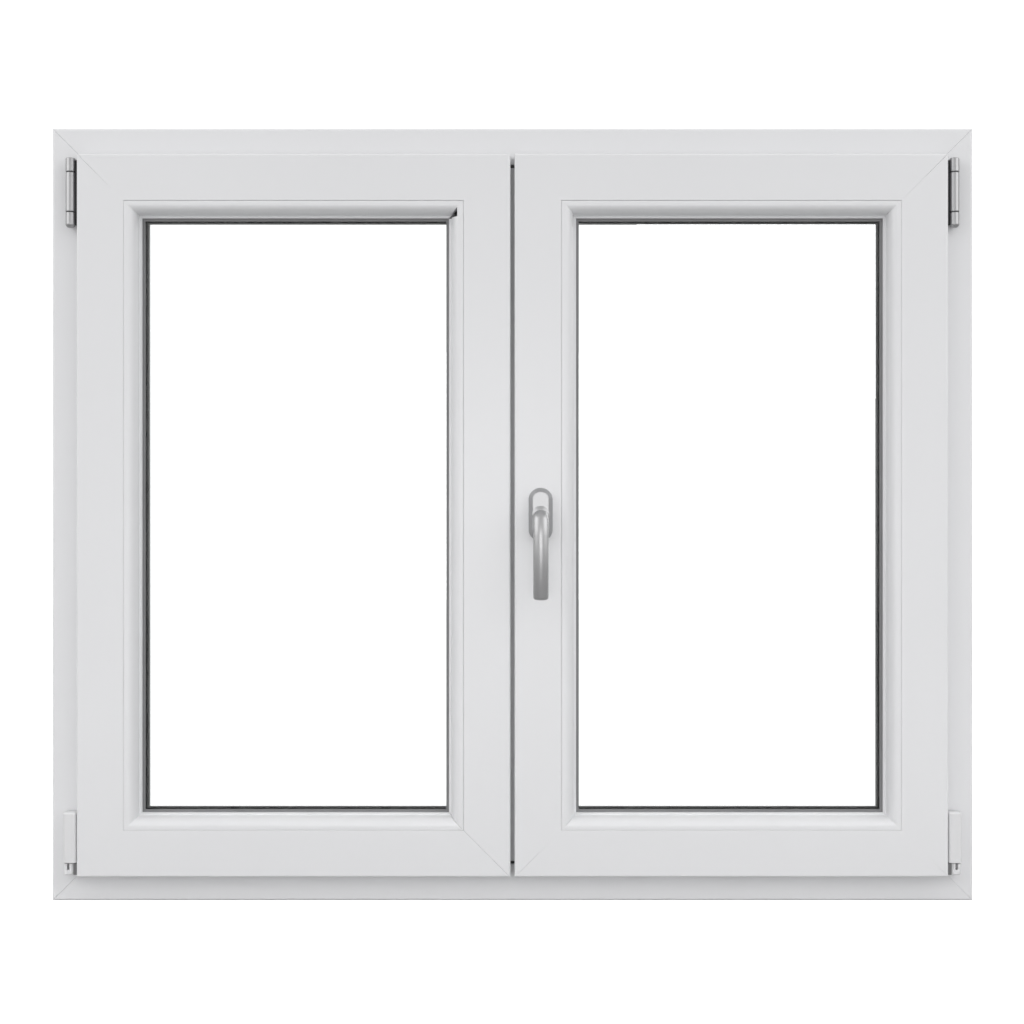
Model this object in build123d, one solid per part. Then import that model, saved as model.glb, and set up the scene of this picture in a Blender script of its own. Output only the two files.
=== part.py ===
from build123d import *
import math
import os

# Two-sash PVC window, seen from the room along +Y.
# X runs to the right, Y towards the outside, Z up.
# The origin is the middle of the frame's underside. All sizes are millimetres.

# Outer frame: overall size and welded profile
WIDTH = 1180.0
HEIGHT = 990.0
FRAME_DEPTH = 70.0
FRAME_FACE = 47.0
STOP_RISE = 20.0
STOP_THICK = 16.0
FRAME_EDGE_RADIUS = 3.0
FIXING_GROOVE_WIDTH = 6.0
FIXING_GROOVE_DEPTH = 5.0
FIXING_GROOVE_OFFSET = 22.0

# Sashes: how they sit in the frame, and their welded profile
SASH_OVERLAP = 10.5
SASH_OVERLAP_BELOW = 12.5
SASH_PROUD = 20.0
SASH_FACE = 59.5
SASH_EDGE_RADIUS = 2.5
MEETING_GAP = 5.2
HARDWARE_GAP = 12.0
ROOM_SEAL = 4.0
STOP_SEAL = 4.0

# Corner welds, cleaned back to a narrow V that dies out towards the glass.
# Each corner has the V's width at its outer end and the inward distance where it ends.
# A corner that isn't listed is cleaned flush.
WELD_DEPTH = 0.9
WELD_END_SHARE = 0.1
FRAME_WELDS = {
    ("left", "top"): (1.3, 110.0),
    ("right", "top"): (1.2, 110.0),
    ("left", "bottom"): (0.8, 110.0),
    ("right", "bottom"): (0.9, 110.0),
}
SASH_WELDS = {
    "left": {
        ("left", "top"): (1.0, 44.0),
        ("right", "bottom"): (0.8, 160.0),
    },
    "right": {
        ("right", "top"): (0.9, 70.0),
        ("left", "bottom"): (0.6, 52.0),
        ("right", "bottom"): (0.5, 30.0),
    },
}
OUTSIDE_WELDS = {
    ("left", "top"): (0.8, 160.0),
    ("right", "top"): (0.8, 160.0),
    ("left", "bottom"): (0.8, 160.0),
    ("right", "bottom"): (0.8, 160.0),
}

# Hollow chambers inside the profiles
WALL = 2.8
WEB = 1.6
STEEL_CHAMBER = 30.0

# Sealed glass unit and the clipped beads that hold it
PANE = 4.0
CAVITY = 16.0
GLASS_EDGE_GAP = 5.0
OUTSIDE_LEG = 18.0
GLAZING_SEAL = 3.0
BEAD_FACE = 19.3
BEAD_FLAT = 4.5
BEAD_LIP_WIDTH = 3.6
BEAD_LIP_THICK = 3.0
BEAD_LIP_ROUND = 1.5
BEAD_JOINT_DEPTH = 5.0
BEAD_JOINTS = {"top": 0.3, "bottom": 0.05, "hinge": 0.05, "meeting": 0.15}
BEAD_MITRE_GAPS = {"left": {("right", "bottom"): 0.3}, "right": {("left", "bottom"): 0.12}}
BEAD_TONGUE = 3.0
BEAD_TONGUE_THICK = 4.0
BEAD_TONGUE_BACK = 5.0
JOINT_ROUND = 0.8
SPACER_SHORT = 1.0
SPACER_EDGE_GAP = 1.0
OPEN_MITRE_STRIP = 8.0
OPEN_MITRE_DROP = 0.8

# Rubber seals: a flat nose with a root pressed into a groove
SEAL_WIDTH = 6.0
SEAL_INSET = 1.0
SEAL_ROOT_WIDTH = 2.4
SEAL_ROOT_DEPTH = 2.6
SEAL_NOSE_RADIUS = 1.0
INNER_SEAL_SHOW = 3.6
OUTER_SEAL_SHOW = 3.0
GLAZING_SEAL_COVER = 7.0
FIT = 0.1

# Meeting profile fixed to the left sash
ASTRAGAL_COVER = 20.0
ASTRAGAL_COVER_THICK = 12.0
ASTRAGAL_CAP = 3.0
END_CLEARANCE = 1.0

# Hinges
HINGE_OFFSET = 9.9
HINGE_STAND = 11.0
HINGE_DROP = 4.2
BARREL_DIAMETER = 12.4
PIN_DIAMETER = 6.0
PIN_CLEARANCE = 0.1
KNUCKLE_GAP = 0.5
KNUCKLE_TOP = 17.7
KNUCKLE_MIDDLE = 51.4
KNUCKLE_BOTTOM = 19.6
BARREL_ROUND = 1.2
BARREL_END_ROUND = 4.6
HINGE_PLATE = 3.0
HINGE_WEB = 8.0
HINGE_STRAP = 3.0
LEAF_INSET = 3.0
LEAF_CLEARANCE = 0.4
COVER_WIDTH = 16.8
COVER_SHIFT = 0.5
COVER_FRONT = 8.0
COVER_BACK = 8.0
COVER_HEIGHT = 64.0
COVER_ROUND = 3.5
COVER_TOP_ROUND = 2.5
COVER_GAP = 1.4
STRAP_INSET = 2.5
BEARING_WIDTH = 12.0
BEARING_SHIFT = -1.3
BEARING_HEIGHT = 14.5
BEARING_FRONT = 6.5
BEARING_ROUND = 4.0
BEARING_CHAMFER = 1.2
PIVOT_LENGTH = 14.0
KEY_SLOT_WIDTH = 3.4
KEY_SLOT_HEIGHT = 7.5
KEY_SLOT_DEPTH = 8.0
BRACKET_FRONT = 4.0
BRACKET_GAP = 0.3

# Handle on the right sash
HANDLE_INSET = 33.2
ROSETTE_WIDTH = 30.6
ROSETTE_HEIGHT = 68.0
ROSETTE_THICK = 11.0
ROSETTE_BEVEL = 5.0
ROSETTE_ROUND = 1.2
COLLAR_DIAMETER = 22.0
COLLAR_TOP = 13.0
COLLAR_HEIGHT = 1.8
JOURNAL_DIAMETER = 11.0
JOURNAL_DEPTH = 9.0
JOURNAL_CLEARANCE = 0.1
LEVER_GAP = 0.6
LEVER_OUT = 41.0
LEVER_BEND = 9.0
LEVER_REACH = 106.0
SHANK_WIDTH = 16.4
SHANK_THICK = 11.0
NECK_WIDTH = 17.2
NECK_THICK = 11.5
NECK_TURN = 72.0
NECK_RADIUS = 80.0
GRIP_TURN = 86.0
GRIP_CURL = 16.0
GRIP_WIDTH = 19.2
GRIP_THICK = 12.5
GRIP_END_ROUND = 3.5
SPINDLE = 7.0
SPINDLE_LENGTH = 32.0
SPINDLE_HOLE = 11.0

# Covers over the drain slots, outside
DRAIN_CAP_WIDTH = 42.0
DRAIN_CAP_HEIGHT = 12.0
DRAIN_CAP_THICK = 4.0
DRAIN_CAP_ROUND = 1.5
DRAIN_CAP_SPACING = 560.0
DRAIN_CAP_LIFT = 24.0

# Faces along Y, from the room to the outside
ROOM_FACE = -FRAME_DEPTH / 2
OUT_FACE = FRAME_DEPTH / 2
STOP_FACE = OUT_FACE - STOP_THICK
SASH_ROOM = ROOM_FACE - SASH_PROUD
SASH_BACK = STOP_FACE - STOP_SEAL
SASH_MIDDLE = (SASH_ROOM + SASH_BACK) / 2
LEAF_BACK = ROOM_FACE - ROOM_SEAL
LEG_FACE = SASH_BACK - OUTSIDE_LEG
GLASS_OUT = LEG_FACE - GLAZING_SEAL
GLASS_IN = GLASS_OUT - 2 * PANE - CAVITY
BEAD_BACK = GLASS_IN - GLAZING_SEAL

# Widths counted inwards from the frame's outer edge or the sash's own edge
FRAME_HEIGHT = FRAME_FACE + STOP_RISE
SASH_BODY = SASH_OVERLAP + HARDWARE_GAP
SASH_HEIGHT = SASH_FACE + BEAD_FACE
SASH_START = FRAME_FACE - SASH_OVERLAP
SASH_BOTTOM = FRAME_FACE - SASH_OVERLAP_BELOW
GLASS_START = SASH_FACE + GLASS_EDGE_GAP
TONGUE_START = BEAD_BACK - BEAD_TONGUE_BACK - BEAD_TONGUE_THICK
TONGUE_END = BEAD_BACK - BEAD_TONGUE_BACK

# Rings as left, right, bottom, top
FRAME_BOX = (-WIDTH / 2, WIDTH / 2, 0.0, HEIGHT)
SASH_BOXES = {
    "left": (-WIDTH / 2 + SASH_START, -MEETING_GAP / 2, SASH_BOTTOM, HEIGHT - SASH_START),
    "right": (MEETING_GAP / 2, WIDTH / 2 - SASH_START, SASH_BOTTOM, HEIGHT - SASH_START),
}
SIDES = ("left", "right", "bottom", "top")
SIDE_ENDS = {
    "left": (("left", "bottom"), ("left", "top")),
    "right": (("right", "top"), ("right", "bottom")),
    "bottom": (("right", "bottom"), ("left", "bottom")),
    "top": (("left", "top"), ("right", "top")),
}
NO_GAPS = {}
CUT_MARGIN = 5.0


def outline(corners):
    """A closed face from (inward, depth, corner radius) points."""
    points = [(inward, depth) for inward, depth, radius in corners]
    radii = [radius for inward, depth, radius in corners]
    return make_face(FilletPolyline(*points, radius=radii, close=True).edges())


def patch(inward_from, inward_to, depth_from, depth_to):
    """A plain rectangle between two inward and two depth values."""
    middle = Pos((inward_from + inward_to) / 2, (depth_from + depth_to) / 2)
    return middle * Rectangle(abs(inward_to - inward_from), abs(depth_to - depth_from))


def block(x_range, y_range, z_range):
    """A box between two corners."""
    low = Vector(x_range[0], y_range[0], z_range[0])
    high = Vector(x_range[1], y_range[1], z_range[1])
    size = high - low
    return Pos((low + high) / 2) * Box(size.X, size.Y, size.Z)


def inset(box, amount):
    """The ring that lies a given amount inside another."""
    left, right, bottom, top = box
    return (left + amount, right - amount, bottom + amount, top - amount)


def side_plane(side, box):
    """A plane at one end of a side: local x points inwards, local y outside, local z along the side."""
    left, right, bottom, top = box
    if side == "left":
        return Plane(origin=(left, 0, bottom), x_dir=(1, 0, 0), z_dir=(0, 0, 1))
    if side == "right":
        return Plane(origin=(right, 0, top), x_dir=(-1, 0, 0), z_dir=(0, 0, -1))
    if side == "bottom":
        return Plane(origin=(right, 0, bottom), x_dir=(0, 0, 1), z_dir=(-1, 0, 0))
    return Plane(origin=(left, 0, top), x_dir=(0, 0, -1), z_dir=(1, 0, 0))


def side_length(side, box):
    left, right, bottom, top = box
    return top - bottom if side in ("left", "right") else right - left


def mitred(section, side, box, gaps=NO_GAPS):
    """The section run along one side of a ring, its ends cut at 45 degrees and drawn back where a corner gapes."""
    plane = side_plane(side, box)
    length = side_length(side, box)
    first, last = (gaps.get(corner, 0.0) for corner in SIDE_ENDS[side])
    bar = extrude(plane * section, amount=length, dir=plane.z_dir)
    size = section.bounding_box()
    low = size.min.X - CUT_MARGIN
    high = size.max.X + CUT_MARGIN
    corners = [
        (low, low + first),
        (low, length - low - last),
        (high, length - high - last),
        (high, high + first),
    ]
    points = [plane.from_local_coords((inward, 0, along)) for inward, along in corners]
    cutter = make_face(Polyline(*points, close=True).edges())
    reach = max(abs(size.min.Y), abs(size.max.Y)) + CUT_MARGIN
    return bar & extrude(cutter, amount=reach, dir=(0, 1, 0), both=True)


def ring(section, box):
    """All four mitred sides welded into one piece."""
    sides = [mitred(section, side, box) for side in SIDES]
    return sides[0] + sides[1:]


def weld_diamond(width, depth):
    """The cross-section of a weld's V, doubled across the face it is cut into."""
    points = ((depth, 0), (0, width / 2), (-depth, 0), (0, -width / 2))
    return make_face(Polyline(*points, close=True).edges())


def weld_grooves(member, side, box, face, start, welds):
    """Cuts the V of each listed corner weld of one side into a face, narrowing inwards from its start."""
    left, right, bottom, top = box
    places = {"left": (left, 1), "right": (right, -1), "bottom": (bottom, 1), "top": (top, -1)}
    for corner, (width, end) in welds.items():
        if side not in corner:
            continue
        (x, x_way), (z, z_way) = (places[name] for name in corner)
        along = Vector(x_way, 0, z_way)
        plane = Plane(origin=Vector(x, face, z) + along * start, x_dir=(0, 1, 0), z_dir=along)
        wide = plane * weld_diamond(width, WELD_DEPTH)
        narrow = weld_diamond(width * WELD_END_SHARE, WELD_DEPTH * WELD_END_SHARE)
        member -= loft([wide, plane.offset((end - start) * math.sqrt(2)) * narrow], ruled=True)
    return member


# Seals

def seal(nose_from, nose_to, root_middle, seat, thickness):
    """A seal on a seat face: its nose spans the gap, and its root sits in the seat's groove."""
    away = math.copysign(1.0, thickness)
    root = SEAL_ROOT_WIDTH / 2
    return outline([
        (nose_from, seat, 0),
        (nose_from, seat + thickness, SEAL_NOSE_RADIUS),
        (nose_to, seat + thickness, SEAL_NOSE_RADIUS),
        (nose_to, seat, 0),
        (root_middle + root, seat, 0),
        (root_middle + root, seat - away * SEAL_ROOT_DEPTH, 0),
        (root_middle - root, seat - away * SEAL_ROOT_DEPTH, 0),
        (root_middle - root, seat, 0),
    ])


def seal_groove(root_middle, seat, away):
    """The groove that takes a seal's root, with a little room all round."""
    root = SEAL_ROOT_WIDTH / 2 + FIT
    return patch(root_middle - root, root_middle + root, seat, seat - away * (SEAL_ROOT_DEPTH + FIT))


STOP_SEAL_FROM = FRAME_HEIGHT - SEAL_INSET - SEAL_WIDTH
STOP_SEAL_ROOT = STOP_SEAL_FROM + SEAL_WIDTH / 2
OVERLAP_SEAL_ROOT = SEAL_INSET + SEAL_WIDTH / 2
BEAD_SEAL_ROOT = BEAD_FACE - GLAZING_SEAL_COVER / 2
LEG_SEAL_ROOT = SASH_FACE + BEAD_SEAL_ROOT


def frame_stop_gasket():
    section = seal(STOP_SEAL_FROM, STOP_SEAL_FROM + SEAL_WIDTH, STOP_SEAL_ROOT, STOP_FACE, -STOP_SEAL)
    return ring(section, FRAME_BOX)


def overlap_gasket(hand):
    section = seal(SEAL_INSET, SEAL_INSET + SEAL_WIDTH, OVERLAP_SEAL_ROOT, LEAF_BACK, ROOM_SEAL)
    return ring(section, SASH_BOXES[hand])


def inner_glazing_gasket(hand):
    nose_from = BEAD_FACE - GLAZING_SEAL_COVER
    section = seal(nose_from, BEAD_FACE + INNER_SEAL_SHOW, BEAD_SEAL_ROOT, BEAD_BACK, GLAZING_SEAL)
    return ring(section, inset(SASH_BOXES[hand], SASH_FACE))


def outer_glazing_gasket(hand):
    nose_from = SASH_HEIGHT - GLAZING_SEAL_COVER
    section = seal(nose_from, SASH_HEIGHT + OUTER_SEAL_SHOW, LEG_SEAL_ROOT, LEG_FACE, -GLAZING_SEAL)
    return ring(section, SASH_BOXES[hand])


# Outer frame

def frame_section():
    """Room leg, sash rebate, outside stop, fixing grooves in the back and four chambers."""
    section = outline([
        (0, ROOM_FACE, FRAME_EDGE_RADIUS),
        (FRAME_FACE, ROOM_FACE, FRAME_EDGE_RADIUS / 2),
        (FRAME_FACE, STOP_FACE, 0),
        (FRAME_HEIGHT, STOP_FACE, FRAME_EDGE_RADIUS / 2),
        (FRAME_HEIGHT, OUT_FACE, FRAME_EDGE_RADIUS),
        (0, OUT_FACE, FRAME_EDGE_RADIUS),
    ])
    half = FIXING_GROOVE_WIDTH / 2
    for middle in (-FIXING_GROOVE_OFFSET, FIXING_GROOVE_OFFSET):
        section -= patch(0, FIXING_GROOVE_DEPTH, middle - half, middle + half)
    section -= seal_groove(STOP_SEAL_ROOT, STOP_FACE, -1)
    low = FIXING_GROOVE_DEPTH + WALL
    high = FRAME_FACE - WALL
    steel = STEEL_CHAMBER / 2
    section -= patch(low, high, ROOM_FACE + WALL, -steel - WEB)
    section -= patch(low, high, -steel, steel)
    section -= patch(low, high, steel + WEB, OUT_FACE - WALL)
    stop_low = STOP_FACE + SEAL_ROOT_DEPTH + FIT + WALL
    section -= patch(high + WEB, FRAME_HEIGHT - WALL, stop_low, OUT_FACE - WALL)
    return section


def frame_member(section, side):
    member = mitred(section, side, FRAME_BOX)
    member = weld_grooves(member, side, FRAME_BOX, ROOM_FACE, -WELD_DEPTH, FRAME_WELDS)
    return weld_grooves(member, side, FRAME_BOX, OUT_FACE, -WELD_DEPTH, OUTSIDE_WELDS)


# Sashes

def sash_section():
    """Overlap leaf, hollow body, groove for the beads and outside glazing leg."""
    section = outline([
        (0, SASH_ROOM, SASH_EDGE_RADIUS),
        (SASH_FACE, SASH_ROOM, JOINT_ROUND),
        (SASH_FACE, LEG_FACE, 0),
        (SASH_HEIGHT, LEG_FACE, JOINT_ROUND),
        (SASH_HEIGHT, SASH_BACK, SASH_EDGE_RADIUS),
        (SASH_BODY, SASH_BACK, SASH_EDGE_RADIUS),
        (SASH_BODY, LEAF_BACK, 0),
        (0, LEAF_BACK, JOINT_ROUND),
    ])
    floor = SASH_FACE - BEAD_TONGUE - FIT
    section -= patch(floor, SASH_FACE, TONGUE_START - FIT, TONGUE_END + FIT)
    section -= seal_groove(OVERLAP_SEAL_ROOT, LEAF_BACK, 1)
    section -= seal_groove(LEG_SEAL_ROOT, LEG_FACE, -1)
    low = SASH_BODY + WALL
    high = floor - WALL
    steel = STEEL_CHAMBER / 2
    section -= patch(low, high, SASH_ROOM + WALL, SASH_MIDDLE - steel - WEB)
    section -= patch(low, high, SASH_MIDDLE - steel, SASH_MIDDLE + steel)
    section -= patch(low, high, SASH_MIDDLE + steel + WEB, SASH_BACK - WALL)
    leaf_end = LEAF_BACK - SEAL_ROOT_DEPTH - FIT - WALL
    section -= patch(WALL, low - WEB, SASH_ROOM + WALL, leaf_end)
    leg_start = LEG_FACE + SEAL_ROOT_DEPTH + FIT + WALL
    section -= patch(high + WEB, SASH_HEIGHT - WALL, leg_start, SASH_BACK - WALL)
    return section


def sash_member(section, hand, side):
    box = SASH_BOXES[hand]
    member = mitred(section, side, box)
    member = weld_grooves(member, side, box, SASH_ROOM, -WELD_DEPTH, SASH_WELDS[hand])
    member = weld_grooves(member, side, box, SASH_BACK, SASH_BODY, OUTSIDE_WELDS)
    if hand == "right" and side == "left":
        member -= spindle_hole()
    return member


# Glazing beads

def bead_section(joint):
    """A flat strip, an ovolo down to a hollow and a lip, and a tongue that clips into the sash.

    The joint is how far the front of the strip stands clear of the sash.
    """
    lip_start = BEAD_FACE - BEAD_LIP_WIDTH
    lip_face = BEAD_BACK - BEAD_LIP_THICK
    curve = EllipticalCenterArc(
        center=(BEAD_FLAT, lip_face - BEAD_LIP_ROUND),
        x_radius=lip_start - BEAD_FLAT,
        y_radius=lip_face - BEAD_LIP_ROUND - SASH_ROOM,
        start_angle=270,
        arc_size=90,
    )
    hollow = CenterArc(
        center=(lip_start + BEAD_LIP_ROUND, lip_face - BEAD_LIP_ROUND),
        radius=BEAD_LIP_ROUND,
        start_angle=90,
        arc_size=90,
    )
    rest = Polyline(
        (lip_start + BEAD_LIP_ROUND, lip_face),
        (BEAD_FACE, lip_face),
        (BEAD_FACE, BEAD_BACK),
        (0, BEAD_BACK),
        (0, TONGUE_END),
        (-BEAD_TONGUE, TONGUE_END),
        (-BEAD_TONGUE, TONGUE_START),
        (0, TONGUE_START),
        (0, SASH_ROOM + BEAD_JOINT_DEPTH),
        (joint, SASH_ROOM + BEAD_JOINT_DEPTH),
        (joint, SASH_ROOM + JOINT_ROUND),
        (joint + JOINT_ROUND, SASH_ROOM),
        (BEAD_FLAT, SASH_ROOM),
    )
    section = make_face(curve.edges() + hollow.edges() + rest.edges())
    return section - seal_groove(BEAD_SEAL_ROOT, BEAD_BACK, 1)


def bead(hand, side):
    box = inset(SASH_BOXES[hand], SASH_FACE)
    section = bead_section(BEAD_JOINTS[side_name(hand, side)])
    piece = mitred(section, side, box, BEAD_MITRE_GAPS[hand])
    if hand == "left" and side == "right":
        piece -= open_mitre(box)
    return piece


def open_mitre(box):
    """What is missing where one bead was cut square and only its flat strip reaches the corner."""
    left, right, bottom, top = box
    across = (right - BEAD_FACE - CUT_MARGIN, right - OPEN_MITRE_STRIP)
    upwards = (top - BEAD_FACE - OPEN_MITRE_DROP, top + CUT_MARGIN)
    return block(across, (SASH_ROOM - CUT_MARGIN, BEAD_BACK + CUT_MARGIN), upwards)


# Sealed glass units

def pane(hand, face):
    left, right, bottom, top = inset(SASH_BOXES[hand], GLASS_START)
    return block((left, right), (face, face + PANE), (bottom, top))


def glass_panes(hand):
    return pane(hand, GLASS_IN) + pane(hand, GLASS_OUT - PANE)


def glass_spacer(hand):
    start = GLASS_START + SPACER_EDGE_GAP
    section = patch(start, SASH_HEIGHT - SPACER_SHORT, GLASS_IN + PANE, GLASS_OUT - PANE)
    return ring(section, SASH_BOXES[hand])


# Meeting profile between the sashes

STEM_LEFT = -MEETING_GAP / 2 - SASH_BODY
STEM_RIGHT = MEETING_GAP / 2 + SASH_OVERLAP
STEM_END = FRAME_FACE + END_CLEARANCE + ASTRAGAL_CAP
COVER_END = FRAME_HEIGHT + END_CLEARANCE
COVER_HALF = SASH_BODY + MEETING_GAP / 2 + ASTRAGAL_COVER / 2


def upright(section, end):
    """A section drawn in plan, run between two heights that lie equally far from the frame's ends."""
    return extrude(Pos(0, 0, end) * section, amount=HEIGHT - 2 * end, dir=(0, 0, 1))


def cover_seal_places():
    return (-COVER_HALF + SEAL_INSET + SEAL_WIDTH / 2, COVER_HALF - SEAL_INSET - SEAL_WIDTH / 2)


def astragal():
    """A hollow stem against the left sash, with a cover outside that both sashes close against."""
    stem = patch(STEM_LEFT, STEM_RIGHT, ROOM_FACE, SASH_BACK)
    stem -= patch(STEM_LEFT + WALL, STEM_RIGHT - WALL, ROOM_FACE + WALL, SASH_BACK - WALL)
    cover = outline([
        (-COVER_HALF, STOP_FACE, 0),
        (COVER_HALF, STOP_FACE, 0),
        (COVER_HALF, STOP_FACE + ASTRAGAL_COVER_THICK, FRAME_EDGE_RADIUS),
        (-COVER_HALF, STOP_FACE + ASTRAGAL_COVER_THICK, FRAME_EDGE_RADIUS),
    ])
    cover += patch(STEM_LEFT, STEM_RIGHT, SASH_BACK, STOP_FACE)
    for middle in cover_seal_places():
        cover -= seal_groove(middle, STOP_FACE, -1)
    return upright(stem, STEM_END) + upright(cover, COVER_END)


def astragal_end_caps():
    cap = extrude(patch(STEM_LEFT, STEM_RIGHT, ROOM_FACE, SASH_BACK), amount=ASTRAGAL_CAP, dir=(0, 0, 1))
    return Pos(0, 0, STEM_END - ASTRAGAL_CAP) * cap + Pos(0, 0, HEIGHT - STEM_END) * cap


def astragal_gaskets():
    half = SEAL_WIDTH / 2
    strips = [
        upright(seal(middle - half, middle + half, middle, STOP_FACE, -STOP_SEAL), COVER_END)
        for middle in cover_seal_places()
    ]
    return strips[0] + strips[1]


# Hinges, drawn on the left and mirrored for the right

LEAF_EDGE = -WIDTH / 2 + SASH_START
AXIS_X = LEAF_EDGE - HINGE_OFFSET
AXIS_Y = ROOM_FACE - HINGE_STAND
HINGE_TOP = HEIGHT - SASH_START - HINGE_DROP
MIDDLE_TOP = HINGE_TOP - KNUCKLE_TOP
MIDDLE_BOTTOM = MIDDLE_TOP - KNUCKLE_MIDDLE
HINGE_BOTTOM = MIDDLE_BOTTOM - KNUCKLE_BOTTOM
BEARING_BOTTOM = SASH_START
BEARING_TOP = BEARING_BOTTOM + BEARING_HEIGHT
COVER_BOTTOM = BEARING_TOP + COVER_GAP


def upright_rod(diameter, bottom, top):
    rod = Cylinder(diameter / 2, top - bottom, align=(Align.CENTER, Align.CENTER, Align.MIN))
    return Pos(AXIS_X, AXIS_Y, bottom) * rod


def knuckle(bottom, top, bottom_round=BARREL_ROUND):
    """A barrel segment with both rims eased."""
    rod = upright_rod(BARREL_DIAMETER, bottom, top)
    rod = fillet(rod.faces().sort_by(Axis.Z)[0].edges(), bottom_round)
    return fillet(rod.faces().sort_by(Axis.Z)[-1].edges(), BARREL_ROUND)


def hinge_leg(bottom, top):
    """The web that carries a barrel segment on the plate."""
    half = HINGE_WEB / 2
    return block((AXIS_X - half, AXIS_X + half), (AXIS_Y, ROOM_FACE - HINGE_PLATE), (bottom, top))


def top_hinge_bearing():
    """Plate on the frame, two barrel segments, the lower one domed, and the pin between them."""
    half = BARREL_DIAMETER / 2
    plate_y = (ROOM_FACE - HINGE_PLATE, ROOM_FACE)
    dome_top = HINGE_BOTTOM + BARREL_END_ROUND
    piece = block((AXIS_X - half, AXIS_X + half), plate_y, (dome_top, HINGE_TOP))
    piece += knuckle(HINGE_BOTTOM, MIDDLE_BOTTOM, BARREL_END_ROUND) + knuckle(MIDDLE_TOP, HINGE_TOP)
    piece += hinge_leg(dome_top, MIDDLE_BOTTOM - BARREL_ROUND)
    piece += hinge_leg(MIDDLE_TOP + BARREL_ROUND, HINGE_TOP - BARREL_ROUND)
    return piece + upright_rod(PIN_DIAMETER, dome_top, HINGE_TOP - BARREL_ROUND)


def strap(bottom, top):
    """The flat arm from a barrel to the edge of the sash."""
    half = HINGE_STRAP / 2
    return block((AXIS_X, LEAF_EDGE), (AXIS_Y - half, AXIS_Y + half), (bottom, top))


def top_hinge_knuckle():
    bottom = MIDDLE_BOTTOM + KNUCKLE_GAP
    top = MIDDLE_TOP - KNUCKLE_GAP
    return knuckle(bottom, top) - upright_rod(PIN_DIAMETER + 2 * PIN_CLEARANCE, bottom, top)


def top_hinge_leaf():
    """The steel arm on the sash's edge: it holds the middle segment and stays clear of the other two."""
    arm = strap(HINGE_BOTTOM + LEAF_INSET, HINGE_TOP - LEAF_INSET)
    arm -= upright_rod(BARREL_DIAMETER, MIDDLE_BOTTOM, MIDDLE_TOP)
    clear = BARREL_DIAMETER + 2 * LEAF_CLEARANCE
    arm -= upright_rod(clear, HINGE_BOTTOM, MIDDLE_BOTTOM)
    return arm - upright_rod(clear, MIDDLE_TOP, HINGE_TOP)


def rounded_upright(width, front, back, round_radius, bottom, top, shift=0.0):
    """A block round the hinge axis, its two front edges rounded, moved from the axis towards the sash."""
    half = width / 2
    middle = AXIS_X + shift
    section = outline([
        (middle - half, AXIS_Y - front, round_radius),
        (middle + half, AXIS_Y - front, round_radius),
        (middle + half, AXIS_Y + back, 0),
        (middle - half, AXIS_Y + back, 0),
    ])
    return extrude(Pos(0, 0, bottom) * section, amount=top - bottom, dir=(0, 0, 1))


def bottom_hinge_cover():
    """Plastic cap over the sash's half of the bottom hinge, with its arm and the bore for the pivot."""
    top = COVER_BOTTOM + COVER_HEIGHT
    size = (COVER_WIDTH, COVER_FRONT, COVER_BACK, COVER_ROUND)
    piece = rounded_upright(*size, COVER_BOTTOM, top, COVER_SHIFT)
    piece = fillet(piece.faces().sort_by(Axis.Z)[-1].edges(), COVER_TOP_ROUND)
    piece += strap(COVER_BOTTOM + STRAP_INSET, top - STRAP_INSET)
    bore = upright_rod(PIN_DIAMETER + 2 * PIN_CLEARANCE, COVER_BOTTOM, BEARING_TOP + PIVOT_LENGTH + COVER_GAP)
    return piece - bore


def bottom_hinge_bearing():
    """Block on the frame with the pivot that carries the sash, and the slot for its adjusting key."""
    front = AXIS_Y - BEARING_FRONT
    back = ROOM_FACE - AXIS_Y
    size = (BEARING_WIDTH, BEARING_FRONT, back, BEARING_ROUND)
    piece = rounded_upright(*size, BEARING_BOTTOM, BEARING_TOP, BEARING_SHIFT)
    underside = piece.faces().sort_by(Axis.Z)[0]
    piece = chamfer(underside.edges().sort_by(Axis.Y)[0], BEARING_CHAMFER)
    piece += upright_rod(PIN_DIAMETER, BEARING_BOTTOM + BEARING_HEIGHT / 2, BEARING_TOP + PIVOT_LENGTH)
    middle = AXIS_X + BEARING_SHIFT
    half = KEY_SLOT_WIDTH / 2
    slot_z = (BEARING_TOP - KEY_SLOT_HEIGHT, BEARING_TOP)
    return piece - block((middle - half, middle + half), (front, front + KEY_SLOT_DEPTH), slot_z)


def bottom_hinge_bracket():
    """Steel foot on the frame between the bearing and the sash's edge."""
    across = (AXIS_X + BEARING_SHIFT + BEARING_WIDTH / 2, LEAF_EDGE - BRACKET_GAP)
    return block(across, (AXIS_Y - BRACKET_FRONT, ROOM_FACE), (BEARING_BOTTOM, BEARING_TOP))


# Handle

HANDLE_X = MEETING_GAP / 2 + HANDLE_INSET
HANDLE_Z = HEIGHT / 2
ROSETTE_FACE = SASH_ROOM - ROSETTE_THICK
COLLAR_FACE = ROSETTE_FACE - COLLAR_HEIGHT
LEVER_START = COLLAR_FACE - LEVER_GAP
BEND_START = SASH_ROOM - LEVER_OUT + LEVER_BEND
BEND_STEPS = 4


def handle_rod(diameter, y_from, y_to):
    """A round bar along the handle's turning axis, from one depth towards the room."""
    rod = Cylinder(diameter / 2, y_from - y_to, align=(Align.CENTER, Align.CENTER, Align.MIN))
    return Pos(HANDLE_X, y_from, HANDLE_Z) * Rot(90, 0, 0) * rod


def spindle_hole():
    return handle_rod(SPINDLE_HOLE, SASH_MIDDLE, SASH_ROOM - CUT_MARGIN)


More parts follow.
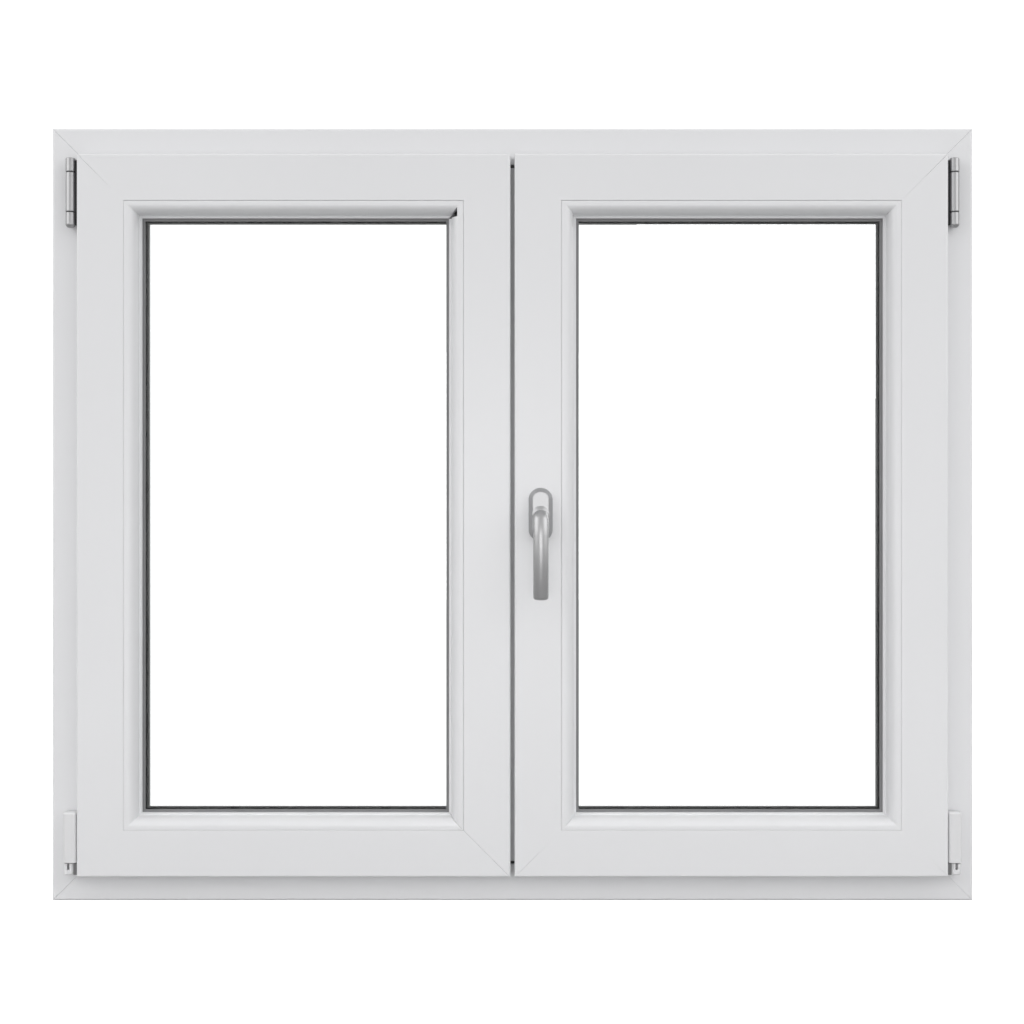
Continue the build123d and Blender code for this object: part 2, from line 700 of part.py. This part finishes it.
def handle_rosette():
    """Bevelled long cover plate with a raised conical collar, bored for the lever."""
    base = Plane(origin=(HANDLE_X, SASH_ROOM, HANDLE_Z), x_dir=(0, 0, 1), z_dir=(0, -1, 0))
    slope = math.degrees(math.atan2(ROSETTE_BEVEL, ROSETTE_THICK))
    plate = extrude(base * SlotOverall(ROSETTE_HEIGHT, ROSETTE_WIDTH), amount=ROSETTE_THICK, taper=slope)
    plate = fillet(plate.faces().sort_by(Axis.Y)[0].edges(), ROSETTE_ROUND)
    on_plate = (Align.CENTER, Align.CENTER, Align.MIN)
    cone = Cone(COLLAR_DIAMETER / 2, COLLAR_TOP / 2, COLLAR_HEIGHT, align=on_plate)
    plate += Pos(HANDLE_X, ROSETTE_FACE, HANDLE_Z) * Rot(90, 0, 0) * cone
    return plate - handle_rod(JOURNAL_DIAMETER + 2 * JOURNAL_CLEARANCE, SASH_ROOM, COLLAR_FACE)


def lever_oval(y, z, turn, width, thick):
    """An oval across the lever's line: turn is 0 in the shank, which points at the room, and near 90 in the grip."""
    angle = math.radians(turn)
    along = (0, -math.cos(angle), -math.sin(angle))
    plane = Plane(origin=(HANDLE_X, y, HANDLE_Z + z), x_dir=(1, 0, 0), z_dir=along)
    return plane * Ellipse(width / 2, thick / 2)


def lever_neck():
    """The shank out of the collar and the bend below it, which widens from the shank to the grip."""
    shank_root = lever_oval(LEVER_START, 0, 0, SHANK_WIDTH, SHANK_THICK)
    ovals = []
    for step in range(BEND_STEPS + 1):
        share = step / BEND_STEPS
        angle = math.radians(NECK_TURN * share)
        width = NECK_WIDTH + (GRIP_WIDTH - NECK_WIDTH) * share
        thick = NECK_THICK + (GRIP_THICK - NECK_THICK) * share
        y = BEND_START - LEVER_BEND * math.sin(angle)
        z = -LEVER_BEND * (1 - math.cos(angle))
        ovals.append(lever_oval(y, z, NECK_TURN * share, width, thick))
    return loft([shank_root, ovals[0]]) + loft(ovals)


def lever_grip():
    """The slanting neck and the grip, which curls a little towards the sash, with its end eased."""
    start, turned, end = (math.radians(turn) for turn in (NECK_TURN, GRIP_TURN, GRIP_TURN + GRIP_CURL))
    y = BEND_START - LEVER_BEND * math.sin(start)
    z = -LEVER_BEND * (1 - math.cos(start))
    neck_drop = NECK_RADIUS * (math.cos(start) - math.cos(turned))
    radius = (LEVER_REACH + z - neck_drop) / (math.cos(turned) - math.cos(end))
    neck_line = JernArc((y, z), (-math.cos(start), -math.sin(start)), NECK_RADIUS, GRIP_TURN - NECK_TURN)
    grip_line = JernArc(neck_line @ 1, neck_line % 1, radius, GRIP_CURL)
    side = Plane(origin=(HANDLE_X, 0, HANDLE_Z), x_dir=(0, 1, 0), z_dir=(1, 0, 0))
    line = side * (neck_line + grip_line)
    grip = sweep(lever_oval(y, z, NECK_TURN, GRIP_WIDTH, GRIP_THICK), path=line)
    return fillet(grip.faces().sort_by(Axis.Z)[0].edges(), GRIP_END_ROUND)


def handle_lever():
    """Cranked lever with its round journal in the collar and the square spindle into the sash."""
    journal_end = COLLAR_FACE + JOURNAL_DEPTH
    half = SPINDLE / 2
    spindle = block(
        (HANDLE_X - half, HANDLE_X + half),
        (COLLAR_FACE, journal_end + SPINDLE_LENGTH),
        (HANDLE_Z - half, HANDLE_Z + half),
    )
    return lever_neck() + lever_grip() + handle_rod(JOURNAL_DIAMETER, journal_end, LEVER_START) + spindle


# Drain covers

def drain_caps():
    plane = Plane(origin=(0, OUT_FACE, DRAIN_CAP_LIFT), x_dir=(1, 0, 0), z_dir=(0, 1, 0))
    cap = extrude(plane * SlotOverall(DRAIN_CAP_WIDTH, DRAIN_CAP_HEIGHT), amount=DRAIN_CAP_THICK)
    cap = fillet(cap.faces().sort_by(Axis.Y)[-1].edges(), DRAIN_CAP_ROUND)
    half = DRAIN_CAP_SPACING / 2
    return Pos(-half, 0, 0) * cap + Pos(half, 0, 0) * cap


# Assembly: every piece under its own name

def side_name(hand, side):
    """A sash's upright side is its hinge side next to the frame, and its meeting side in the middle."""
    if side in ("top", "bottom"):
        return side
    return "hinge" if side == hand else "meeting"


def assembly():
    pieces = {}
    frame = frame_section()
    pieces["frame_head"] = frame_member(frame, "top")
    pieces["frame_sill"] = frame_member(frame, "bottom")
    pieces["frame_jamb_left"] = frame_member(frame, "left")
    pieces["frame_jamb_right"] = frame_member(frame, "right")
    pieces["frame_stop_gasket"] = frame_stop_gasket()
    pieces["drain_caps"] = drain_caps()
    pieces["overlap_gaskets"] = overlap_gasket("left") + overlap_gasket("right")
    sash = sash_section()
    for hand in SASH_BOXES:
        for side in SIDES:
            name = side_name(hand, side)
            bar = "rail" if side in ("top", "bottom") else "stile"
            pieces[f"{hand}_sash_{name}_{bar}"] = sash_member(sash, hand, side)
            pieces[f"{hand}_bead_{name}"] = bead(hand, side)
        pieces[f"{hand}_glass_panes"] = glass_panes(hand)
        pieces[f"{hand}_glass_spacer"] = glass_spacer(hand)
        pieces[f"{hand}_inner_glazing_gasket"] = inner_glazing_gasket(hand)
        pieces[f"{hand}_outer_glazing_gasket"] = outer_glazing_gasket(hand)
    pieces["astragal"] = astragal()
    pieces["astragal_end_caps"] = astragal_end_caps()
    pieces["astragal_gaskets"] = astragal_gaskets()
    hinges = {
        "top_hinge_bearing": top_hinge_bearing(),
        "top_hinge_knuckle": top_hinge_knuckle(),
        "top_hinge_leaf": top_hinge_leaf(),
        "bottom_hinge_cover": bottom_hinge_cover(),
        "bottom_hinge_bearing": bottom_hinge_bearing(),
        "bottom_hinge_bracket": bottom_hinge_bracket(),
    }
    for name, piece in hinges.items():
        pieces[f"left_{name}"] = piece
        pieces[f"right_{name}"] = mirror(piece, about=Plane.YZ)
    pieces["handle_rosette"] = handle_rosette()
    pieces["handle_lever"] = handle_lever()
    return pieces


os.makedirs("parts", exist_ok=True)
for node, solid in assembly().items():
    export_step(solid, f"parts/{node}.step")
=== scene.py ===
import math
import bpy
import numpy as np
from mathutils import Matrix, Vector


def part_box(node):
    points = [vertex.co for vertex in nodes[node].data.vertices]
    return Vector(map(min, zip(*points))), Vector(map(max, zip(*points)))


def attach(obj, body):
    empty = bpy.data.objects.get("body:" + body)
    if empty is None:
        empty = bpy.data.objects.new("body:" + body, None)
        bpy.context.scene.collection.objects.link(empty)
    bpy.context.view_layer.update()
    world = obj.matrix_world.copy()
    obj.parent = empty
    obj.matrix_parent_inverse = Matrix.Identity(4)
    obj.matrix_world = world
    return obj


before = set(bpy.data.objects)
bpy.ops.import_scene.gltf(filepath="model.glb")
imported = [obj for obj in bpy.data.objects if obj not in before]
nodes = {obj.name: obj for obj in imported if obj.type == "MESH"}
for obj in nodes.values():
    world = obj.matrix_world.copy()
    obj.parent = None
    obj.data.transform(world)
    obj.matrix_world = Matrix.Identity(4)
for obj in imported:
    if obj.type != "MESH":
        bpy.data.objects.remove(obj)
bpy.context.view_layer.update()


# Outer frame. Four lengths of hollow white PVC profile, cut to mitres and welded at the corners.
# The profile leaves its die with a smooth satin skin, very faint lines along its run
# and a slow drift of shade.

def new_group(name, inputs, outputs):
    """An empty shader node group with the named sockets, as (tree, its input node, its output node)."""
    tree = bpy.data.node_groups.new(name, "ShaderNodeTree")
    for socket_name, socket_type, value in inputs:
        socket = tree.interface.new_socket(socket_name, in_out="INPUT", socket_type=socket_type)
        socket.default_value = value
    for socket_name, socket_type in outputs:
        tree.interface.new_socket(socket_name, in_out="OUTPUT", socket_type=socket_type)
    return tree, tree.nodes.new("NodeGroupInput"), tree.nodes.new("NodeGroupOutput")


def add(tree, kind, links=None, **settings):
    """A node of that kind. Settings are its properties, or values for the sockets that bear their names, and
    links maps a socket's name or number to the socket that feeds it."""
    node = tree.nodes.new(kind)
    for name, value in settings.items():
        if hasattr(node, name):
            setattr(node, name, value)
        else:
            node.inputs[name].default_value = value
    for target, source in (links or {}).items():
        tree.links.new(source, node.inputs[target])
    return node


def skin_group():
    """Two masks over a surface: fine lines, from noise stretched by the grain, and drift, from slow noise."""
    tree, given, result = new_group(
        "skin",
        [("Grain", "NodeSocketVector", (1.0, 1.0, 1.0)), ("Drift", "NodeSocketFloat", 4.0)],
        [("Lines", "NodeSocketFloat"), ("Drift", "NodeSocketFloat")],
    )
    place = add(tree, "ShaderNodeTexCoord").outputs["Object"]
    stretched = add(tree, "ShaderNodeVectorMath", {0: place, 1: given.outputs["Grain"]}, operation="MULTIPLY")
    fine = {"Scale": 1.0, "Detail": 3.0, "Roughness": 0.6}
    lines = add(tree, "ShaderNodeTexNoise", {"Vector": stretched.outputs[0]}, **fine)
    drift = add(tree, "ShaderNodeTexNoise", {"Vector": place, "Scale": given.outputs["Drift"]}, Detail=2.0)
    tree.links.new(lines.outputs["Fac"], result.inputs["Lines"])
    tree.links.new(drift.outputs["Fac"], result.inputs["Drift"])
    return tree


def spread(tree, mask, low, high):
    """A mask between 0 and 1 as a value between low and high."""
    node = add(tree, "ShaderNodeMapRange", {"Value": mask}, **{"To Min": low, "To Max": high})
    return node.outputs["Result"]


def tint(tree, mask, dark, light):
    """A colour between dark and light, by a mask between 0 and 1."""
    node = add(tree, "ShaderNodeMix", {"Factor": mask}, data_type="RGBA")
    first, second = [socket for socket in node.inputs if socket.type == "RGBA"]
    first.default_value = (*dark, 1.0)
    second.default_value = (*light, 1.0)
    return next(socket for socket in node.outputs if socket.type == "RGBA")


def new_material(name):
    """A material with only its Principled shader, as (material, tree, shader)."""
    material = bpy.data.materials.new(name)
    material.use_nodes = True
    return material, material.node_tree, material.node_tree.nodes["Principled BSDF"]


def bump(tree, shader, height, strength, distance):
    """Feeds the shader's normal from a height that stands that distance, in metres, at full strength."""
    node = add(tree, "ShaderNodeBump", {"Height": height}, Strength=strength, Distance=distance)
    tree.links.new(node.outputs["Normal"], shader.inputs["Normal"])


def skinned(name, shades, roughness, grain, drift, relief):
    """A material whose shade follows the skin's drift, and whose gloss and relief follow its lines. Relief is
    the strength and the distance of its bump."""
    material, tree, shader = new_material(name)
    masks = add(tree, "ShaderNodeGroup", node_tree=skin)
    masks.inputs["Grain"].default_value = grain
    masks.inputs["Drift"].default_value = drift
    tree.links.new(tint(tree, masks.outputs["Drift"], *shades), shader.inputs["Base Color"])
    tree.links.new(spread(tree, masks.outputs["Lines"], *roughness), shader.inputs["Roughness"])
    bump(tree, shader, masks.outputs["Lines"], *relief)
    return material, shader


def dress(material, *names):
    """Gives CAD nodes one material."""
    for name in names:
        mesh = nodes[name].data
        mesh.materials.clear()
        mesh.materials.append(material)


skin = skin_group()
PVC = (0.755, 0.757, 0.770), (0.785, 0.787, 0.800)
PVC_RELIEF = (0.12, 0.0004)
PVC_ROUGHNESS = (0.28, 0.36)
ALONG_RUN, ACROSS_RUN = 1.5, 900.0
PVC_DRIFT = 4.0
LEVEL_GRAIN = (ALONG_RUN, ACROSS_RUN, ACROSS_RUN)
UPRIGHT_GRAIN = (ACROSS_RUN, ACROSS_RUN, ALONG_RUN)
level_pvc, _ = skinned("level_pvc", PVC, PVC_ROUGHNESS, LEVEL_GRAIN, PVC_DRIFT, PVC_RELIEF)
upright_pvc, _ = skinned("upright_pvc", PVC, PVC_ROUGHNESS, UPRIGHT_GRAIN, PVC_DRIFT, PVC_RELIEF)
dress(level_pvc, "frame_head", "frame_sill")
dress(upright_pvc, "frame_jamb_left", "frame_jamb_right")


# Drain caps. Two small white caps over the drain slots outside, moulded in plastic and pressed in.
# They come from a spark-eroded mould, so their skin has a very fine even texture.

MOULD_GRAIN = (1400.0, 1400.0, 1400.0)
MOULD_DRIFT = 20.0
WHITE_MOULDING = (0.70, 0.70, 0.71), (0.74, 0.74, 0.75)
WHITE_GLOSS = (0.45, 0.6)
MOULD_RELIEF = (0.2, 0.0002)
white_moulding, _ = skinned("white_moulding", WHITE_MOULDING, WHITE_GLOSS, MOULD_GRAIN, MOULD_DRIFT, MOULD_RELIEF)
dress(white_moulding, "drain_caps")


# Seals. Extruded dark grey rubber, pressed into grooves of the frame, the sashes, the beads
# and the meeting profile.
# The rubber is dull, with an uneven bloom on its skin.

RUBBER_GRAIN = (500.0, 500.0, 500.0)
RUBBER = (0.19, 0.19, 0.195), (0.24, 0.24, 0.245)
RUBBER_GLOSS = (0.5, 0.75)
RUBBER_DRIFT = 30.0
RUBBER_RELIEF = (0.2, 0.0003)
dark_rubber, _ = skinned("dark_rubber", RUBBER, RUBBER_GLOSS, RUBBER_GRAIN, RUBBER_DRIFT, RUBBER_RELIEF)
dress(dark_rubber, *[name for name in nodes if "gasket" in name])


# Sashes. Two frames of the same white PVC profile, hung left and right in the outer frame.
# Their corners are mitred and welded as the frame's are.

HANDS = ("left", "right")
for hand in HANDS:
    dress(level_pvc, f"{hand}_sash_top_rail", f"{hand}_sash_bottom_rail")
    dress(upright_pvc, f"{hand}_sash_hinge_stile", f"{hand}_sash_meeting_stile")


# Sealed glass units. Two panes of float glass either side of an aluminium spacer bar, sealed round the edge.
# The dark sealant shows as a thin, slightly uneven line where each pane meets the bar.

GLASS_RELIEF = (0.05, 0.002)


def float_glass():
    """Clear glass whose surface is very slightly wavy, as float glass is."""
    material, tree, shader = new_material("float_glass")
    shader.inputs["Base Color"].default_value = (0.985, 0.995, 0.99, 1.0)
    shader.inputs["Roughness"].default_value = 0.0
    shader.inputs["IOR"].default_value = 1.5
    shader.inputs["Transmission Weight"].default_value = 1.0
    place = add(tree, "ShaderNodeTexCoord").outputs["Object"]
    wave = add(tree, "ShaderNodeTexNoise", {"Vector": place}, Scale=3.0, Detail=1.0)
    bump(tree, shader, wave.outputs["Fac"], *GLASS_RELIEF)
    return material


def closed_grid(name, *grids):
    """One mesh object from grids of points, each closed both ways: round its path and round its section."""
    points, faces, start = [], [], 0
    for grid in grids:
        rows, columns = grid.shape[:2]
        here = start + np.arange(rows * columns).reshape(rows, columns)
        ahead = np.roll(here, -1, axis=0)
        quads = np.stack([here, np.roll(here, -1, axis=1), np.roll(ahead, -1, axis=1), ahead], axis=-1)
        points.append(grid.reshape(-1, 3))
        faces.append(quads.reshape(-1, 4))
        start += rows * columns
    mesh = bpy.data.meshes.new(name)
    mesh.from_pydata(np.concatenate(points).tolist(), [], np.concatenate(faces).tolist())
    mesh.polygons.foreach_set("use_smooth", np.ones(len(mesh.polygons), dtype=bool))
    piece = bpy.data.objects.new(name, mesh)
    bpy.context.scene.collection.objects.link(piece)
    return piece


SPACER_HEIGHT = 0.0123
SEALANT_WIDTH = 0.0016
SEALANT_HEIGHT = 0.0008
SEALANT_STEPS = 140
SEALANT_ROUND = 12
SEALANT_WAVE = 0.06
SEALANT_LAPS = 31.0, 47.0
SEALANT_LAG = 1.0


def sealant_line(low, high, depth):
    """A thin oval strip round the spacer's inner face at one depth. The path is a square of half side one, and each
    point of the oval stretches it to the opening's half width and half height less that point's height. Two slow
    sines along the path make the height uneven. Half of the oval lies inside the bar."""
    step = np.arange(4 * SEALANT_STEPS)
    side = step // SEALANT_STEPS
    along = 2.0 * (step % SEALANT_STEPS) / SEALANT_STEPS - 1.0
    first, second, third = side == 0, side == 1, side == 2
    across = np.select([first, second, third], [along, 1.0, -along], -1.0)[:, None]
    upward = np.select([first, second, third], [-1.0, along, 1.0], -along)[:, None]
    turn = 2.0 * np.pi * np.arange(SEALANT_ROUND) / SEALANT_ROUND
    lap = 2.0 * np.pi * step / len(step)
    slow, fast = SEALANT_LAPS
    uneven = 1.0 + SEALANT_WAVE * np.sin(slow * lap)[:, None] * np.sin(fast * lap + SEALANT_LAG)[:, None]
    height = SEALANT_HEIGHT * uneven * np.sin(turn)
    middle = (low + high) / 2.0
    half = (high - low) / 2.0 - SPACER_HEIGHT
    x = middle[0] + (half[0] - height) * across
    z = middle[2] + (half[2] - height) * upward
    y = np.broadcast_to(depth + SEALANT_WIDTH / 2.0 * np.cos(turn), x.shape)
    return np.stack([x, y, z], axis=-1)


def metal(name, shades, roughness, grain, drift):
    """A skinned material that is bare or plated metal."""
    material, shader = skinned(name, shades, roughness, grain, drift, METAL_RELIEF)
    shader.inputs["Metallic"].default_value = 1.0
    return material


glass = float_glass()
SPACER_METAL = (0.30, 0.30, 0.31), (0.42, 0.42, 0.43)
SPACER_GLOSS = (0.35, 0.5)
SPACER_DRIFT = 20.0
METAL_RELIEF = (0.05, 0.0001)
mill_aluminium = metal("mill_aluminium", SPACER_METAL, SPACER_GLOSS, RUBBER_GRAIN, SPACER_DRIFT)
SEALANT = (0.02, 0.02, 0.021), (0.035, 0.035, 0.036)
SEALANT_GLOSS = (0.4, 0.6)
SEALANT_DRIFT = 60.0
sealant_black, _ = skinned("sealant_black", SEALANT, SEALANT_GLOSS, RUBBER_GRAIN, SEALANT_DRIFT, RUBBER_RELIEF)
for hand in HANDS:
    dress(glass, f"{hand}_glass_panes")
    dress(mill_aluminium, f"{hand}_glass_spacer")
    low, high = (np.array(corner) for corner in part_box(f"{hand}_glass_spacer"))
    room_line = sealant_line(low, high, low[1] + SEALANT_WIDTH / 2.0)
    outer_line = sealant_line(low, high, high[1] - SEALANT_WIDTH / 2.0)
    sealant = closed_grid(f"{hand}_spacer_sealant", room_line, outer_line)
    sealant.data.materials.append(sealant_black)
    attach(sealant, "window")


# Glazing beads. White PVC strips with a hollow curve and a lip, clipped into the sashes to hold the glass in.
# Each is cut to a mitre and pushed in by hand, so a fine line shows along its edge and at its ends.

for hand in HANDS:
    dress(level_pvc, f"{hand}_bead_top", f"{hand}_bead_bottom")
    dress(upright_pvc, f"{hand}_bead_hinge", f"{hand}_bead_meeting")


# Meeting profile. A white PVC length screwed to the left sash, which the right one closes against.
# A dark moulded cap closes each end of it.

DARK_MOULDING = (0.04, 0.04, 0.042), (0.06, 0.06, 0.062)
DARK_GLOSS = (0.4, 0.55)
dark_moulding, _ = skinned("dark_moulding", DARK_MOULDING, DARK_GLOSS, MOULD_GRAIN, MOULD_DRIFT, MOULD_RELIEF)
dress(upright_pvc, "astragal")
dress(dark_moulding, "astragal_end_caps")


# Top hinges. Turned metal barrels, plated in satin silver, on a pin, with a steel arm to the sash, coloured near
# black to paint in the shade of the deep gap between barrel and sash.
# A dark plastic washer keeps each pair of barrels apart.

WASHER_BORE = 0.0032
WASHER_FLAT = 0.005
WASHER_RIM = 0.00592
WASHER_HALF = 0.00024
WASHER_FLARE = 0.00018
WASHER_STEPS = 96
WASHER_PROFILE = 9


def washer(middle, height):
    """A ring round the hinge pin: its half thickness is even between the barrels, grows with the square of the way
    out into the groove between their rounded ends, and closes at the rim as a quarter circle does."""
    way = np.linspace(0.0, 1.0, WASHER_PROFILE)
    radius = np.concatenate([[WASHER_BORE], WASHER_FLAT + (WASHER_RIM - WASHER_FLAT) * way])
    thick = np.concatenate([[WASHER_HALF], (WASHER_HALF + WASHER_FLARE * way ** 2) * np.sqrt(1.0 - way ** 6)])
    radius = np.concatenate([radius, radius[-2::-1]])
    thick = np.concatenate([thick, -thick[-2::-1]])
    turn = 2.0 * np.pi * np.arange(WASHER_STEPS)[:, None] / WASHER_STEPS
    x = middle[0] + radius * np.cos(turn)
    y = middle[1] + radius * np.sin(turn)
    z = np.broadcast_to(height + thick, x.shape)
    return np.stack([x, y, z], axis=-1)


TURNED_GRAIN = (500.0, 500.0, 1.5)
HINGE_SILVER = (0.38, 0.38, 0.385), (0.43, 0.43, 0.435)
# Near-black arm colour: partly the arm's own dark steel, partly painted shade of the gap between barrel and sash.
HINGE_STEEL_AND_SHADE = (0.03, 0.03, 0.032), (0.05, 0.05, 0.053)
JOINT_GAP = 0.0005
SATIN_GLOSS = (0.30, 0.38)
STEEL_GLOSS = (0.4, 0.5)
METAL_DRIFT = 25.0
hinge_silver = metal("hinge_silver", HINGE_SILVER, SATIN_GLOSS, TURNED_GRAIN, METAL_DRIFT)
hinge_steel_and_shade = metal("hinge_steel_and_shade", HINGE_STEEL_AND_SHADE, STEEL_GLOSS, TURNED_GRAIN, METAL_DRIFT)
for hand in HANDS:
    dress(hinge_silver, f"{hand}_top_hinge_bearing", f"{hand}_top_hinge_knuckle")
    dress(hinge_steel_and_shade, f"{hand}_top_hinge_leaf")
    low, high = (np.array(corner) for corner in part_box(f"{hand}_top_hinge_knuckle"))
    pin = (low + high) / 2.0
    lower_washer = washer(pin, low[2] - JOINT_GAP / 2.0)
    upper_washer = washer(pin, high[2] + JOINT_GAP / 2.0)
    washers = closed_grid(f"{hand}_hinge_washers", lower_washer, upper_washer)
    washers.data.materials.append(dark_moulding)
    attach(washers, "window")


# Bottom hinges. A white moulded cover over the hinge arm, a white bearing block with a key slot under it,
# and a steel bracket that carries both on the frame, coloured dark grey to paint in the shade of the recess beside
# the sash.

# Dark grey bracket colour: partly the bracket's own steel, partly painted shade of the recess between bearing and
# sash.
BRACKET_STEEL_AND_SHADE = (0.24, 0.24, 0.245), (0.29, 0.29, 0.295)
bracket_steel_and_shade = metal("bracket_steel_and_shade", BRACKET_STEEL_AND_SHADE, STEEL_GLOSS, TURNED_GRAIN, METAL_DRIFT)
for hand in HANDS:
    dress(white_moulding, f"{hand}_bottom_hinge_cover", f"{hand}_bottom_hinge_bearing")
    dress(bracket_steel_and_shade, f"{hand}_bottom_hinge_bracket")


# Handle. A cast aluminium lever on a rosette, both finished in satin silver.
# The lever turns on a square spindle that passes through the sash.

CAST_GRAIN = (1200.0, 1200.0, 1200.0)
HANDLE_SILVER = (0.43, 0.43, 0.435), (0.47, 0.47, 0.475)
handle_silver = metal("handle_silver", HANDLE_SILVER, SATIN_GLOSS, CAST_GRAIN, METAL_DRIFT)
dress(handle_silver, "handle_rosette", "handle_lever")


# Stage. A pale floor under the sill and even white light all round, both plain white where they are seen.
# Large soft lamps stand left and right, a long one lies low in front, and one stands behind for the outer side.
# A small card by the camera shows in the metal only.

BACKDROP = 1.25
FLOOR_HALF = 6.0
FLOOR_LEVEL = -0.001
FLOOR_SHADE = (0.42, 0.42, 0.42, 1.0)
WHITE = (1.0, 1.0, 1.0, 1.0)
SKY = 0.79


def seen_directly(tree):
    """A mask of the rays that come straight from the camera or through the glass."""
    path = add(tree, "ShaderNodeLightPath").outputs
    sources = {0: path["Is Camera Ray"], 1: path["Is Transmission Ray"]}
    return add(tree, "ShaderNodeMath", sources, operation="MAXIMUM").outputs[0]


def floor_sheet():
    """A flat square floor just under the sill."""
    corners = FLOOR_HALF * np.array([(-1.0, -1.0, 0.0), (1.0, -1.0, 0.0), (1.0, 1.0, 0.0), (-1.0, 1.0, 0.0)])
    corners[:, 2] = FLOOR_LEVEL
    mesh = bpy.data.meshes.new("floor")
    mesh.from_pydata(corners.tolist(), [], [(0, 1, 2, 3)])
    floor = bpy.data.objects.new("floor", mesh)
    bpy.context.scene.collection.objects.link(floor)
    material, tree, shader = new_material("floor_white")
    shader.inputs["Base Color"].default_value = FLOOR_SHADE
    shader.inputs["Roughness"].default_value = 0.9
    white = add(tree, "ShaderNodeEmission", Color=WHITE, Strength=BACKDROP)
    parts = {0: seen_directly(tree), 1: shader.outputs[0], 2: white.outputs[0]}
    mix = add(tree, "ShaderNodeMixShader", parts)
    tree.links.new(mix.outputs[0], tree.nodes["Material Output"].inputs["Surface"])
    mesh.materials.append(material)


def studio_sky():
    """Even white light from all round, with plain white where it is seen directly."""
    world = bpy.data.worlds.new("studio")
    bpy.context.scene.world = world
    world.use_nodes = True
    tree = world.node_tree
    tree.nodes.clear()
    light = add(tree, "ShaderNodeBackground", Color=WHITE, Strength=SKY)
    white = add(tree, "ShaderNodeBackground", Color=WHITE, Strength=BACKDROP)
    mix = add(tree, "ShaderNodeMixShader", {0: seen_directly(tree), 1: light.outputs[0], 2: white.outputs[0]})
    add(tree, "ShaderNodeOutputWorld", {"Surface": mix.outputs[0]})


def soft_box(name, place, aim, width, height, power):
    """A large soft lamp that points from its place at a target."""
    lamp = bpy.data.lights.new(name, "AREA")
    lamp.shape = "RECTANGLE"
    lamp.size = width
    lamp.size_y = height
    lamp.energy = power
    stand = bpy.data.objects.new(name, lamp)
    way = np.array(aim) - np.array(place)
    stand.location = place
    stand.rotation_euler = (math.atan2(math.hypot(way[0], way[1]), -way[2]), 0, math.atan2(-way[0], way[1]))
    bpy.context.scene.collection.objects.link(stand)
    return stand


MIDDLE = (0.0, 0.0, 0.495)
LOW_FRONT = (0.0, 0.0, 0.08)
floor_sheet()
studio_sky()
soft_box("left_box", (-2.5, -1.6, 1.9), MIDDLE, 3.0, 2.4, 26.0)
soft_box("right_box", (2.5, -1.6, 1.9), MIDDLE, 3.0, 2.4, 26.0)
low_box = soft_box("low_box", (0.0, -2.2, 0.14), LOW_FRONT, 2.4, 0.25, 1.4)
low_box.data.spread = math.radians(60.0)
low_box.visible_glossy = False
low_box.visible_transmission = False
front_card = soft_box("front_card", (0.0, -2.5, 0.6), MIDDLE, 0.9, 0.7, 4.9)
front_card.visible_diffuse = False
soft_box("back_box", (1.4, 2.6, 1.7), MIDDLE, 2.4, 1.8, 24.0)


# Camera. It stands square in front of the window, a little right of its middle, as the photograph's did.
# The frame's edges in the photograph give the lens and a small sideways shift.

PHOTO_SIDE = 1024
WINDOW_LEFT, WINDOW_RIGHT, WINDOW_TOP, WINDOW_BOTTOM = 52.3, 972.8, 128.7, 900.4
CAMERA_DISTANCE = 2.05
CAMERA_ASIDE = 0.015
SENSOR = 36.0
head_low, head_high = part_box("frame_head")
pixel = (head_high[0] - head_low[0]) / (WINDOW_RIGHT - WINDOW_LEFT)
middle_x = (PHOTO_SIDE / 2 - (WINDOW_LEFT + WINDOW_RIGHT) / 2) * pixel
middle_z = MIDDLE[2] - (PHOTO_SIDE / 2 - (WINDOW_TOP + WINDOW_BOTTOM) / 2) * pixel
camera_data = bpy.data.cameras.new("camera")
camera_data.sensor_width = SENSOR
camera_data.lens = SENSOR * CAMERA_DISTANCE / (PHOTO_SIDE * pixel)
camera_data.shift_x = (middle_x - CAMERA_ASIDE) / (PHOTO_SIDE * pixel)
camera = bpy.data.objects.new("camera", camera_data)
camera.location = (CAMERA_ASIDE, head_low[1] - CAMERA_DISTANCE, middle_z)
camera.rotation_euler = (math.pi / 2, 0.0, 0.0)
bpy.context.scene.collection.objects.link(camera)
bpy.context.scene.camera = camera
bpy.context.scene.view_settings.view_transform = "Standard"
